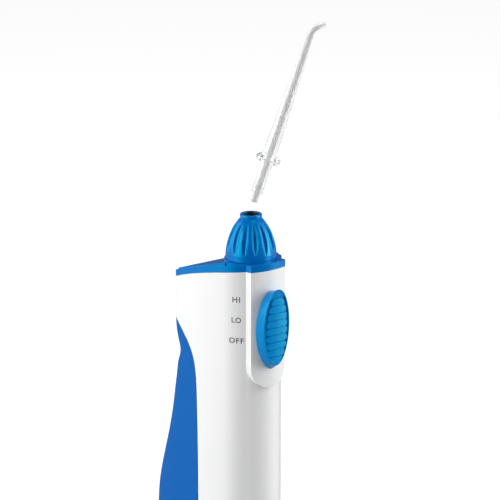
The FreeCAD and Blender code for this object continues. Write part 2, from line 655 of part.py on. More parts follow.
def motor_parts():
    y0, y1 = MOTOR_Y
    can = rod_y(MOTOR_R, 0, MOTOR_Z, y0, y1).cut(rod_y(1.0 + RUN, 0, MOTOR_Z, y0 - 1, y1 + 1))
    boss = rod_y(3.0, 0, MOTOR_Z, y1, y1 + 1.2).cut(rod_y(1.0 + RUN, 0, MOTOR_Z, y1 - 1, y1 + 2))
    shaft = rod_y(1.0, 0, MOTOR_Z, y0 + 2.0, GEAR_Y + GEAR_T)
    pinion = gear(PINION_TEETH, 1.0, GEAR_Y, GEAR_T, math.pi / 2)
    pinion.translate(V(0, 0, MOTOR_Z))
    can = join([can, boss])
    for x, z in MOTOR_SCREWS:
        can = can.cut(rod_y(1.0, x, z, y1 - 3.0, y1 + 1))
    return can, shaft, pinion


def pump_frame():
    plate = box(-14, 14, FRAME_Y - 1.4, FRAME_Y, MOTOR_Z - MOTOR_R - 1.6, CYL_Z[0] + 11.2)
    floor = box(-14, 14, -4, FRAME_Y, MOTOR_Z - MOTOR_R - 1.6, MOTOR_Z - MOTOR_R)
    wall = box(-10, 10, MOTOR_Y[1], MOTOR_Y[1] + 1.4, MOTOR_Z - MOTOR_R - 1, MOTOR_Z + MOTOR_R)
    shelf = box(-11, 11, -4, FRAME_Y, CYL_Z[0] + 4.2, CYL_Z[0] + 6.7)
    frame = join([plate, floor, wall, shelf])
    frame = frame.common(plan_prism(WALL + GAP, 0, SEAT_Z)).cut(rod_y(MOTOR_R, 0, MOTOR_Z, *MOTOR_Y))
    frame = frame.cut(rod_y(3.0, 0, MOTOR_Z, 8, 11)).cut(rod_z(CYL_OUT, 0, PISTON_Y, *CYL_Z))
    frame = frame.cut(rod_y(1.5, 0, GEAR_Z, FRAME_Y - 2, FRAME_Y + 1))
    for x, z in MOTOR_SCREWS:
        frame = frame.cut(rod_y(1.0, x, z, 5, 12))
    return frame


def gear_axle():
    return rod_y(1.5, 0, GEAR_Z, GEAR_Y - 0.4, FRAME_Y)


def motor_screws():
    made = []
    for x, z in MOTOR_SCREWS:
        head = rod_y(1.7, x, z, MOTOR_Y[1] + 1.4, MOTOR_Y[1] + 2.4)
        made.append(head.fuse(rod_y(1.0, x, z, MOTOR_Y[1] - 3.0, MOTOR_Y[1] + 1.4)))
    return Part.makeCompound(made)


def piston():
    low = WRIST_Z + 11.8
    crown = rod_z(PISTON_R, 0, PISTON_Y, low, low + 8.0)
    groove = ring_z(PISTON_R + 1, PISTON_R - 0.9, 0, PISTON_Y, low + 5.0, low + 6.8)
    tongue = box(-2.8, 2.8, PISTON_Y - 1.0, PISTON_Y + 2.0, WRIST_Z, low)
    eye = rod_y(2.8, 0, WRIST_Z, PISTON_Y - 1.0, PISTON_Y + 2.0)
    return join([crown.cut(groove), tongue, eye]).cut(rod_y(1.2, 0, WRIST_Z, 0, 20))


def wrist_pin():
    return rod_y(1.2, 0, WRIST_Z, PISTON_Y - 1.0, PISTON_Y + 2.0)


def piston_seal():
    low = WRIST_Z + 11.8
    return ring_z(PISTON_R - 0.02, PISTON_R - 0.9, 0, PISTON_Y, low + 5.0, low + 6.8)


def pump_head():
    z0 = CYL_Z[1]
    head = rod_z(HEAD_R, 0, PISTON_Y, z0, z0 + 12)
    head = head.cut(rod_z(2.2, 0, PISTON_Y, z0 - 1, z0 + 7)).cut(rod_z(FEED_R, 0, PISTON_Y, z0 + 7, z0 + 13))
    return head.cut(rod_x(1.5, PISTON_Y, z0 + 4, -HEAD_R - 1, 0))


def inlet_valve():
    return rod_x(1.5, PISTON_Y, CYL_Z[1] + 4, -5.0, -3.0)


def outlet_valve():
    z0 = CYL_Z[1] + 7
    bill = box(-0.6, 0.6, PISTON_Y - 1.8, PISTON_Y + 1.8, z0, z0 + 3.2)
    return rod_z(FEED_R, 0, PISTON_Y, z0, z0 + 1.0).fuse(bill)


def hose(points, r_out, r_in):
    """Moulded elbow hose through the points."""
    def strand(r):
        bits = []
        for a, b in zip(points, points[1:]):
            a, b = V(*a), V(*b)
            bits.append(Part.makeCylinder(r, (b - a).Length, a, b - a))
        bits += [Part.makeSphere(r, V(*p)) for p in points[1:-1]]
        return join(bits)
    return strand(r_out).cut(strand(r_in))


def inlet_hose():
    z = CYL_Z[1] + 4
    side = -(CREASE[0] - WALL - 0.1)
    route = [(-INLET_R, INLET_Y, INLET_Z), (side + 4.5, INLET_Y, INLET_Z), (side, 10, INLET_Z + 3.5),
             (side, 7, INLET_Z + 9), (side, 7, z - 8), (-HEAD_R - 5, PISTON_Y, z - 1), (-HEAD_R, PISTON_Y, z)]
    return hose(route, 1.5, 0.9)


def feed_tube():
    z0 = CYL_Z[1] + 12
    route = [(0, PISTON_Y, z0 - 1.6), (0, PISTON_Y, z0 + 1.6), (0, 0, CAP_Z0 - 8), (0, 0, SEAT_Z - 1.0)]
    return hose(route, FEED_R, 1.4)


def inlet_spigot():
    """Elbow that passes through the rear cover into the reservoir's port."""
    pipe = rod_y(INLET_R, 0, INLET_Z, INLET_Y - 1.5, REAR_Y + 5.0)
    flange = rod_y(INLET_R + 1.6, 0, INLET_Z, INLET_Y - 1.9, REAR_Y - WALL)
    body = join([pipe, flange])
    body = body.cut(rod_y(1.5, 0, INLET_Z, INLET_Y - 0.5, REAR_Y + 6))
    return body.cut(rod_x(1.5, INLET_Y, INLET_Z, -INLET_R - 2, 0))


def outlet_seal():
    return rod_y(INLET_R + 2.0, 0, INLET_Z, 19.4, 21.2).cut(rod_y(INLET_R + 0.1, 0, INLET_Z, 18, 22))


def outlet_filter():
    cup = rod_y(INLET_R + 2.0, 0, INLET_Z, 21.2, 25.2).cut(rod_y(INLET_R + 1.0, 0, INLET_Z, 21, 24.4))
    for k in range(6):
        a = 2 * math.pi * k / 6
        cup = cup.cut(rod_y(0.6, 2.4 * math.cos(a), INLET_Z + 2.4 * math.sin(a), 23, 26))
    return cup


# ---------------------------------------------------------------- electrics

def cells():
    return [rod_z(CELL_R, x, 3.0, CELL_Z, CELL_Z + CELL_H) for x in (-CELL_R - 0.15, CELL_R + 0.15)]


def battery_holder():
    floor = box(-15, 15, -4.6, 11, CELL_Z - 1.6, CELL_Z).common(plan_prism(WALL + GAP, 0, 200))
    spine = box(-11, 11, 10.5, 11.9, CELL_Z - 1.6, CELL_Z + CELL_H)
    posts = [rod_z(2.6, x, y, PAD_T + 2.0, CELL_Z) for x, y in BASE_SCREWS]
    holder = join([floor, spine] + posts)
    for x, y in BASE_SCREWS:
        holder = holder.cut(rod_z(1.1, x, y, 0, PAD_T + 8.0))
    return holder


def cell_contacts():
    top = CELL_Z + CELL_H
    return box(-13, 13, 0.0, 6.0, top, top + 0.4)


def circuit_board():
    board = box(-9, 9, BOARD_Y, BOARD_Y + 1.2, SLIDE_Z - 32.7, SLIDE_Z + 23.3)
    for x in (-BOARD_X, BOARD_X):
        for z in BOARD_Z:
            board = board.cut(rod_y(1.0, x, z, BOARD_Y - 1, BOARD_Y + 2))
    return board


def board_screws():
    made = []
    for x in (-BOARD_X, BOARD_X):
        for z in BOARD_Z:
            head = rod_y(1.8, x, z, BOARD_Y + 1.2, BOARD_Y + 2.2)
            made.append(head.fuse(rod_y(1.0, x, z, BOARD_Y - 2.8, BOARD_Y + 1.2)))
    return Part.makeCompound(made)


def board_posts():
    places = [(x, z) for x in (-BOARD_X, BOARD_X) for z in BOARD_Z]
    posts = [rod_y(2.2, x, z, BOARD_Y - 5.2, BOARD_Y) for x, z in places]
    holes = [rod_y(1.0, x, z, BOARD_Y - 2.8, BOARD_Y + 0.6) for x, z in places]
    return posts, holes


def charging_socket():
    x0, x1 = JACK_X
    barrel = rod_x(JACK_R, JACK_Y, JACK_Z, x0, x1)
    flange = rod_x(JACK_R + 1.2, JACK_Y, JACK_Z, 15.8, 16.8)
    return join([barrel, flange]).cut(rod_x(PLUG_R, JACK_Y, JACK_Z, x0 + 1.0, x1 + 1))


# ---------------------------------------------------------------- assembly

def main():
    os.makedirs("parts", exist_ok=True)
    housing, cover = housing_parts()
    posts, holes = board_posts()
    for post in posts:
        housing = housing.fuse(post)
    for hole in holes:
        housing = housing.cut(hole)
    can, shaft, pinion = motor_parts()
    left, right = cells()
    save("front_housing", housing)
    save("rear_inner_cover", cover)
    save("top_cap", top_cap())
    save("base_cover", base_cover())
    save("foot_pad", foot_pad())
    save("base_screws", screws_z(BASE_SCREWS, PAD_T + 1.0, 7.0, 2.0, 1.1))
    save("tip_collar", collar())
    save("tip_socket", tip_socket())
    save("collar_clip", collar_clip())
    save("jet_tip", place_tip(jet_tip()))
    save("slide_switch", slide_switch())
    save("slide_carrier", slide_carrier())
    save("reservoir", reservoir())
    save("fill_door", fill_door())
    save("door_seal", door_seal())
    save("door_pin", rod_x(0.7, *hinge_point(), -9.0, 9.0))
    save("outlet_seal", outlet_seal())
    save("outlet_filter", outlet_filter())
    save("crank_gear", crank_gear())
    save("crank_pin", crank_pin())
    save("con_rod", con_rod())
    save("motor_can", can)
    save("motor_shaft", shaft)
    save("pinion", pinion)
    save("gear_axle", gear_axle())
    save("pump_frame", pump_frame())
    save("motor_screws", motor_screws())
    save("piston", piston())
    save("wrist_pin", wrist_pin())
    save("piston_seal", piston_seal())
    save("pump_cylinder", ring_z(CYL_OUT, PISTON_R + RUN, 0, PISTON_Y, *CYL_Z))
    save("pump_head", pump_head())
    save("inlet_valve", inlet_valve())
    save("outlet_valve", outlet_valve())
    save("inlet_hose", inlet_hose())
    save("feed_tube", feed_tube())
    save("inlet_spigot", inlet_spigot())
    save("battery_cell_left", left)
    save("battery_cell_right", right)
    save("battery_holder", battery_holder())
    save("cell_contacts", cell_contacts())
    save("circuit_board", circuit_board())
    save("board_screws", board_screws())
    save("slide_contacts", box(-5, 5, BOARD_Y - 1.0, BOARD_Y, SLIDE_Z - 9, SLIDE_Z + 15))
    save("charging_socket", charging_socket())


main()
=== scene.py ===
import json
import math

import bmesh
import bpy
from mathutils import Matrix, Vector
from mathutils.bvhtree import BVHTree


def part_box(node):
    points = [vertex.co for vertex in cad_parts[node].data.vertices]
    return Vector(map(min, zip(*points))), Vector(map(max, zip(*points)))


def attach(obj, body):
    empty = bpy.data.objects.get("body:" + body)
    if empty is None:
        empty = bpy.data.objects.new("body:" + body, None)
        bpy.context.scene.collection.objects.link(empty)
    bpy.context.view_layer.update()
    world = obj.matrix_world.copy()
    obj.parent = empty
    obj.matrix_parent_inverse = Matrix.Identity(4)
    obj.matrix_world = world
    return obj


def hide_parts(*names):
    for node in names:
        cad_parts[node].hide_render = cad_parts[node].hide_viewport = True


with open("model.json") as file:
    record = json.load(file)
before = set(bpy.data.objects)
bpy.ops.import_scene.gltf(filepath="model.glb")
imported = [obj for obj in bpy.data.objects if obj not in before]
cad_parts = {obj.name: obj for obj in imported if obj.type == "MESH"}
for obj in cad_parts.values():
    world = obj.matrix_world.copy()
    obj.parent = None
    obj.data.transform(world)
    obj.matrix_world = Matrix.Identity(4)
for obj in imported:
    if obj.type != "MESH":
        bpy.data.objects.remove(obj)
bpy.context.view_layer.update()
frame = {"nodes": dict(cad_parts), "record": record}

MM = 0.001

# ------------------------------------------------------------------ table, lights and camera
# The flosser stands on a plain pale table in a soft light tent: one wide soft light at the
# left, a second at the right front, and weak ones overhead and behind.

scene = bpy.context.scene
scene.view_settings.view_transform = "Standard"


def link(obj):
    scene.collection.objects.link(obj)
    return obj


def seen_directly(tree):
    """1 where the camera looks straight at the surface or through clear plastic, else 0."""
    ray = tree.nodes.new("ShaderNodeLightPath")
    seen = tree.nodes.new("ShaderNodeMath")
    seen.operation = "MAXIMUM"
    tree.links.new(ray.outputs["Is Camera Ray"], seen.inputs[0])
    tree.links.new(ray.outputs["Is Transmission Ray"], seen.inputs[1])
    return seen.outputs[0]


table_mesh = bpy.data.meshes.new("table_top")
reach = 9.0
table_mesh.from_pydata([(-reach, -reach, 0), (reach, -reach, 0), (reach, reach, 0), (-reach, reach, 0)],
                       [], [(0, 1, 2, 3)])
table_top = link(bpy.data.objects.new("table_top", table_mesh))
paper = bpy.data.materials.new("pale_table")
paper.use_nodes = True
paper_shader = paper.node_tree.nodes["Principled BSDF"]
paper_shader.inputs["Base Color"].default_value = (0.36, 0.362, 0.36, 1)
paper_shader.inputs["Roughness"].default_value = 0.6
paper_shader.inputs["Emission Color"].default_value = (1.0, 1.0, 1.0, 1)
paper_glow = paper.node_tree.nodes.new("ShaderNodeMapRange")
paper_glow.inputs["To Min"].default_value = 0.04
paper_glow.inputs["To Max"].default_value = 0.88
paper.node_tree.links.new(seen_directly(paper.node_tree), paper_glow.inputs["Value"])
paper.node_tree.links.new(paper_glow.outputs["Result"], paper_shader.inputs["Emission Strength"])
table_mesh.materials.append(paper)

world = bpy.data.worlds.new("tent")
scene.world = world
world.use_nodes = True
sky = world.node_tree.nodes["Background"]
sky.inputs["Color"].default_value = (0.985, 0.995, 0.99, 1)
sky_seen = world.node_tree.nodes.new("ShaderNodeBackground")
sky_seen.inputs["Color"].default_value = (0.975, 0.992, 0.984, 1)
sky_pick = world.node_tree.nodes.new("ShaderNodeMixShader")
sky.inputs["Strength"].default_value = 0.10
sky_out = world.node_tree.nodes["World Output"]
world.node_tree.links.new(seen_directly(world.node_tree), sky_pick.inputs[0])
world.node_tree.links.new(sky.outputs[0], sky_pick.inputs[1])
world.node_tree.links.new(sky_seen.outputs[0], sky_pick.inputs[2])
world.node_tree.links.new(sky_pick.outputs[0], sky_out.inputs["Surface"])

collar_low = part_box("tip_collar")[0]
aim = Vector((0, 0, collar_low.z + 3.6 * MM))


def soft_light(name, place, width, height, power):
    """Rectangular soft light that faces the aim point."""
    data = bpy.data.lights.new(name, "AREA")
    data.shape = "RECTANGLE"
    data.size, data.size_y, data.energy = width, height, power
    lamp = link(bpy.data.objects.new(name, data))
    lamp.location = aim + Vector(place)
    lamp.rotation_mode = "QUATERNION"
    lamp.rotation_quaternion = (aim - lamp.location).to_track_quat("-Z", "Y")
    return lamp


soft_light("left_light", (-1.15, 0.25, 0.15), 0.9, 1.3, 17.8)
soft_light("right_light", (0.85, -0.75, 0.20), 0.5, 1.2, 16.0)
soft_light("top_light", (0.1, -0.2, 1.3), 0.8, 0.8, 5.0)
soft_light("rear_light", (-0.75, 1.0, 0.35), 0.7, 0.9, 4.0)

LENS = 180.0
FRAME_WIDTH = 0.270
camera = link(bpy.data.objects.new("camera", bpy.data.cameras.new("camera")))
camera.data.lens = LENS
camera.data.clip_start, camera.data.clip_end = 0.05, 50.0
azimuth, elevation = math.radians(-36.5), math.radians(16.5)
back = Vector((math.sin(azimuth) * math.cos(elevation), -math.cos(azimuth) * math.cos(elevation),
               math.sin(elevation)))
sideways = Vector((math.cos(azimuth), math.sin(azimuth), 0)) * -0.54 * MM
camera.location = aim + sideways + back * (FRAME_WIDTH * LENS / camera.data.sensor_width)
camera.rotation_mode = "QUATERNION"
camera.rotation_quaternion = (-back).to_track_quat("-Z", "Y")
scene.camera = camera

# ------------------------------------------------------------------ white housing
# Two-part ABS shell, moulded and polished: a C-shaped front housing and the wall behind the
# reservoir. Its edges are softened by the mould, and the polish shows a faint orange peel.


def new_group(name, inputs, outputs):
    """Shader node group with named sockets."""
    tree = bpy.data.node_groups.new(name, "ShaderNodeTree")
    for label, value in inputs:
        socket = tree.interface.new_socket(label, in_out="INPUT", socket_type="NodeSocketFloat")
        socket.default_value = value
    for label, kind in outputs:
        tree.interface.new_socket(label, in_out="OUTPUT", socket_type=kind)
    return tree, tree.nodes.new("NodeGroupInput"), tree.nodes.new("NodeGroupOutput")


def math_node(tree, operation, first, second=None, clamp=False):
    node = tree.nodes.new("ShaderNodeMath")
    node.operation = operation
    node.use_clamp = clamp
    for socket, value in zip(node.inputs, (first, second)):
        if isinstance(value, (int, float)):
            socket.default_value = value
        elif value is not None:
            tree.links.new(value, socket)
    return node.outputs[0]


def noise(tree, coords, scale, detail=2.0):
    node = tree.nodes.new("ShaderNodeTexNoise")
    tree.links.new(coords, node.inputs["Vector"])
    node.inputs["Detail"].default_value = detail
    if isinstance(scale, (int, float)):
        node.inputs["Scale"].default_value = scale
    else:
        tree.links.new(scale, node.inputs["Scale"])
    return node.outputs["Fac"]


def make_skin_group():
    """Moulded skin: fine grain height, roughness between two values, and slow tone drift."""
    tree, given, out = new_group(
        "moulded_skin",
        [("Grain Scale", 900.0), ("Rough Low", 0.2), ("Rough High", 0.3), ("Drift Scale", 30.0)],
        [("Height", "NodeSocketFloat"), ("Roughness", "NodeSocketFloat"), ("Drift", "NodeSocketFloat")])
    coords = tree.nodes.new("ShaderNodeTexCoord").outputs["Object"]
    fine = noise(tree, coords, given.outputs["Grain Scale"], 3.0)
    slow = noise(tree, coords, given.outputs["Drift Scale"], 2.0)
    span = math_node(tree, "SUBTRACT", given.outputs["Rough High"], given.outputs["Rough Low"])
    rough = math_node(tree, "ADD", given.outputs["Rough Low"], math_node(tree, "MULTIPLY", span, slow))
    tree.links.new(fine, out.inputs["Height"])
    tree.links.new(rough, out.inputs["Roughness"])
    tree.links.new(slow, out.inputs["Drift"])
    return tree


def make_edge_highlight_group():
    """Painted edge highlight: a mask that is 1 where the surface turns sharply and the noise allows it."""
    tree, given, out = new_group("painted_edge_highlight", [("Radius", 0.0006), ("Amount", 1.0)],
                                 [("Mask", "NodeSocketFloat")])
    round_normal = tree.nodes.new("ShaderNodeBevel")
    round_normal.samples = 4
    tree.links.new(given.outputs["Radius"], round_normal.inputs["Radius"])
    plain = tree.nodes.new("ShaderNodeNewGeometry")
    dot = tree.nodes.new("ShaderNodeVectorMath")
    dot.operation = "DOT_PRODUCT"
    tree.links.new(round_normal.outputs[0], dot.inputs[0])
    tree.links.new(plain.outputs["Normal"], dot.inputs[1])
    turn = math_node(tree, "SUBTRACT", 1.0, dot.outputs["Value"])
    coords = tree.nodes.new("ShaderNodeTexCoord").outputs["Object"]
    patchy = noise(tree, coords, 260.0, 3.0)
    mask = math_node(tree, "MULTIPLY", math_node(tree, "MULTIPLY", turn, 6.0), patchy)
    mask = math_node(tree, "MULTIPLY", mask, given.outputs["Amount"], clamp=True)
    tree.links.new(mask, out.inputs["Mask"])
    return tree


SKIN = make_skin_group()
EDGE_HIGHLIGHT = make_edge_highlight_group()


def moulded(name, light, dark, edge_highlight, rough, grain, bump, fixed, drift=30.0):
    """Material of a moulded piece: two tones, a painted highlight on sharp edges, grain, and fixed shader
    values.
    """
    material = bpy.data.materials.new(name)
    material.use_nodes = True
    tree = material.node_tree
    shader = tree.nodes["Principled BSDF"]
    skin = tree.nodes.new("ShaderNodeGroup")
    skin.node_tree = SKIN
    for label, value in (("Grain Scale", grain), ("Rough Low", rough[0]), ("Rough High", rough[1]),
                         ("Drift Scale", drift)):
        skin.inputs[label].default_value = value
    highlight_mask = tree.nodes.new("ShaderNodeGroup")
    highlight_mask.node_tree = EDGE_HIGHLIGHT
    tone = tree.nodes.new("ShaderNodeMix")
    tone.data_type = "RGBA"
    tone.inputs[6].default_value = (*light, 1)
    tone.inputs[7].default_value = (*dark, 1)
    # Sharp edges are mixed towards a lighter colour through the mask: a painted highlight.
    highlight_mix = tree.nodes.new("ShaderNodeMix")
    highlight_mix.data_type = "RGBA"
    highlight_mix.inputs[7].default_value = (*edge_highlight, 1)
    relief = tree.nodes.new("ShaderNodeBump")
    relief.inputs["Strength"].default_value = bump
    relief.inputs["Distance"].default_value = 0.0001
    tree.links.new(skin.outputs["Drift"], tone.inputs[0])
    tree.links.new(tone.outputs[2], highlight_mix.inputs[6])
    tree.links.new(highlight_mask.outputs["Mask"], highlight_mix.inputs[0])
    tree.links.new(highlight_mix.outputs[2], shader.inputs["Base Color"])
    tree.links.new(skin.outputs["Roughness"], shader.inputs["Roughness"])
    tree.links.new(skin.outputs["Height"], relief.inputs["Height"])
    tree.links.new(relief.outputs["Normal"], shader.inputs["Normal"])
    for label, value in fixed.items():
        shader.inputs[label].default_value = value
    return material


white_abs = moulded("white_abs", (0.905, 0.905, 0.905), (0.885, 0.887, 0.89), (0.93, 0.93, 0.93),
                    (0.16, 0.24), 700.0, 0.05, {"IOR": 1.46, "Coat Weight": 0.15, "Coat Roughness": 0.06})


def welded(node, name):
    """New object with a CAD node's surface as one closed mesh with merged points."""
    bm = bmesh.new()
    bm.from_mesh(frame["nodes"][node].data)
    bmesh.ops.remove_doubles(bm, verts=bm.verts, dist=2e-6)
    bmesh.ops.dissolve_limit(bm, angle_limit=math.radians(0.6), verts=bm.verts, edges=bm.edges)
    bm.verts.index_update()
    points = [v.co.copy() for v in bm.verts]
    faces = [[v.index for v in f.verts] for f in bm.faces]
    bm.free()
    mesh = bpy.data.meshes.new(name)
    mesh.from_pydata(points, [], faces)
    mesh.validate()
    return link(bpy.data.objects.new(name, mesh))


def soften(obj, width, angle=40, segments=3):
    """Small mould radius on the sharp edges, as a bevel."""
    mesh = obj.data
    mesh.shade_smooth()
    mesh.set_sharp_from_angle(angle=math.radians(angle))
    bevel = obj.modifiers.new("mould_radius", "BEVEL")
    bevel.width = width
    bevel.segments = segments
    bevel.limit_method = "ANGLE"
    bevel.angle_limit = math.radians(angle)
    bevel.use_clamp_overlap = True
    bevel.harden_normals = True


def stand_for(obj, node, body, material):
    obj.data.materials.clear()
    obj.data.materials.append(material)
    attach(obj, body)
    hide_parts(node)


housing = welded("front_housing", "housing_shell")
soften(housing, 0.35 * MM)
stand_for(housing, "front_housing", "housing", white_abs)

for node, name, width in (("rear_inner_cover", "housing_rear_wall", 0.25), ("base_cover", "base_plate", 0.4)):
    shell = welded(node, name)
    soften(shell, width * MM)
    stand_for(shell, node, "housing", white_abs)

# ------------------------------------------------------------------ control words
# HI, LO and OFF, pad-printed in grey ink on the flank beside the switch. The ink stands a few
# hundredths of a millimetre proud of the shell and follows its curve.

WORD_PLACE = Vector((-14.3, -6.6, 0)) * MM
WORD_RIGHT = Vector((0.563, -0.826, 0)).normalized()
WORD_OUT = Vector((-0.826, -0.563, 0)).normalized()
CAP_HEIGHT = 3.0 * MM
LETTER_WEIGHT = 0.016
WORDS = (("HI", 166.4, 4.2), ("LO", 154.9, 5.3), ("OFF", 143.3, 8.2))

wall_points = [v.co for v in frame["nodes"]["front_housing"].data.vertices]
wall_faces = [p.vertices[:] for p in frame["nodes"]["front_housing"].data.polygons]
wall_tree = BVHTree.FromPolygons(wall_points, wall_faces)

grey_ink = moulded("grey_ink", (0.05, 0.05, 0.055), (0.07, 0.07, 0.075), (0.12, 0.12, 0.12),
                   (0.45, 0.6), 2500.0, 0.1, {"IOR": 1.45})


def printed_word(text, height, width):
    """Letters as thin closed slabs, laid on the shell from outside."""
    curve = bpy.data.curves.new("word_" + text, "FONT")
    curve.body = text
    curve.space_character = 1.18
    curve.extrude = 0.5
    curve.offset = LETTER_WEIGHT
    lettering = link(bpy.data.objects.new("lettering_" + text, curve))
    deps = bpy.context.evaluated_depsgraph_get()
    mesh = bpy.data.meshes.new_from_object(lettering.evaluated_get(deps))
    bpy.data.objects.remove(lettering)
    bm = bmesh.new()
    bm.from_mesh(mesh)
    bmesh.ops.remove_doubles(bm, verts=bm.verts, dist=1e-5)
    bmesh.ops.triangulate(bm, faces=bm.faces)
    low_x, high_x = min(v.co.x for v in bm.verts), max(v.co.x for v in bm.verts)
    low_y, high_y = min(v.co.y for v in bm.verts), max(v.co.y for v in bm.verts)
    for v in bm.verts:
        across = ((v.co.x - low_x) / (high_x - low_x) - 0.5) * width * MM
        up = ((v.co.y - low_y) / (high_y - low_y) - 0.5) * CAP_HEIGHT
        proud = (v.co.z + 0.5) * 0.03 * MM
        start = WORD_PLACE + WORD_RIGHT * across + Vector((0, 0, height * MM + up)) + WORD_OUT * 0.02
        place = wall_tree.ray_cast(start, -WORD_OUT)[0]
        v.co = place + WORD_OUT * (proud + 0.01 * MM)
    bm.to_mesh(mesh)
    bm.free()
    mesh.materials.clear()
    mesh.materials.append(grey_ink)
    word = link(bpy.data.objects.new("printed_" + text, mesh))
    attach(word, "housing")
    return word


for text, height, width in WORDS:
    printed_word(text, height, width)

# ------------------------------------------------------------------ blue cap
# Sloping ABS cap that closes the top: a band round the body, a ledge, the ramp up from the rear
# and the level seat under the collar. It is moulded in solid blue and snapped into the shell.

BLUE_SHINE = {"IOR": 1.48, "Specular IOR Level": 0.85, "Specular Tint": (0.0, 1.0, 1.0, 1)}

blue_abs = moulded("blue_abs", (0.0, 0.155, 0.56), (0.0, 0.130, 0.50), (0.0, 0.30, 0.72),
                   (0.24, 0.34), 800.0, 0.05, BLUE_SHINE)

cap = welded("top_cap", "sloping_cap")
soften(cap, 0.4 * MM)
stand_for(cap, "top_cap", "housing", blue_abs)

# ------------------------------------------------------------------ fluted collar
# Domed ABS collar that turns on the cap's hub: fourteen lens-shaped flutes for the fingers, and a
# rounded lip round the mouth that takes the jet tip. Moulded in the same blue as the cap.

DOME = ((13.85, 0.0), (13.8, 2.0), (13.7, 3.9), (13.0, 7.9), (11.6, 12.4), (9.9, 16.3), (8.1, 19.0),
        (6.9, 20.6), (5.9, 21.7), (5.65, 22.0))
LIP = ((5.75, 22.25), (5.95, 22.5), (6.0, 22.9), (6.0, 23.5), (5.93, 23.85), (5.7, 24.1), (5.4, 24.2),
       (4.7, 24.2), (4.35, 24.1), (4.22, 23.8), (4.2, 23.3), (4.2, 21.6))
INSIDE = ((5.8, 21.6), (5.8, 15.0), (9.3, 11.0), (11.2, 7.0), (11.2, 0.0))
FLUTE_COUNT = 14
FLUTE_FACETS = 20
DOME_STEPS = 110


def smooth_path(points, steps):
    """Even samples of a Catmull-Rom curve through the points."""
    ends = [2 * Vector(points[0]) - Vector(points[1])], [2 * Vector(points[-1]) - Vector(points[-2])]
    nodes = ends[0] + [Vector(p) for p in points] + ends[1]
    path = []
    for k in range(steps + 1):
        t = k / steps * (len(points) - 1)
        i = min(int(t), len(points) - 2)
        t -= i
        a, b, c, d = nodes[i:i + 4]
        path.append(0.5 * (2 * b + (c - a) * t + (2 * a - 5 * b + 4 * c - d) * t * t
                           + (3 * b - a - 3 * c + d) * t ** 3))
    return path


def turned_ring(name, loop, around, base_z):
    """Closed loop of (radius, height) in millimetres, turned about the collar's axis."""
    points, faces = [], []
    for k in range(around):
        turn = 2 * math.pi * k / around
        points += [(r * MM * math.cos(turn), r * MM * math.sin(turn), base_z + h * MM) for r, h in loop]
    count = len(loop)
    for k in range(around):
        here, there = k * count, (k + 1) % around * count
        for i in range(count):
            j = (i + 1) % count
            faces.append((here + i, there + i, there + j, here + j))
    mesh = bpy.data.meshes.new(name)
    mesh.from_pydata(points, [], faces)
    mesh.validate()
    return link(bpy.data.objects.new(name, mesh))


def face_outwards(mesh):
    bm = bmesh.new()
    bm.from_mesh(mesh)
    bmesh.ops.recalc_face_normals(bm, faces=bm.faces)
    bm.to_mesh(mesh)
    bm.free()


def new_geometry_tree(name, inputs):
    """Geometry node tree with a geometry socket each way and the named inputs."""
    tree = bpy.data.node_groups.new(name, "GeometryNodeTree")
    tree.interface.new_socket("Geometry", in_out="INPUT", socket_type="NodeSocketGeometry")
    for label, kind in inputs:
        tree.interface.new_socket(label, in_out="INPUT", socket_type=kind)
    tree.interface.new_socket("Geometry", in_out="OUTPUT", socket_type="NodeSocketGeometry")
    return tree, tree.nodes.new("NodeGroupInput"), tree.nodes.new("NodeGroupOutput")


def finish_tree(tree, given, out, geometry):
    """Every tree ends in Realize Instances and Set Material."""
    real = tree.nodes.new("GeometryNodeRealizeInstances")
    paint = tree.nodes.new("GeometryNodeSetMaterial")
    tree.links.new(geometry, real.inputs["Geometry"])
    tree.links.new(real.outputs["Geometry"], paint.inputs["Geometry"])
    tree.links.new(given.outputs["Material"], paint.inputs["Material"])
    tree.links.new(paint.outputs["Geometry"], out.inputs["Geometry"])


def run_tree(obj, tree, values):
    """Runs the tree on the object once and keeps the result as its plain mesh."""
    modifier = obj.modifiers.new(tree.name, "NODES")
    modifier.node_group = tree
    for item in tree.interface.items_tree:
        if item.in_out == "INPUT" and item.name in values:
            modifier[item.identifier] = values[item.name]
    deps = bpy.context.evaluated_depsgraph_get()
    mesh = bpy.data.meshes.new_from_object(obj.evaluated_get(deps), depsgraph=deps)
    obj.modifiers.remove(modifier)
    obj.data = mesh
    return obj


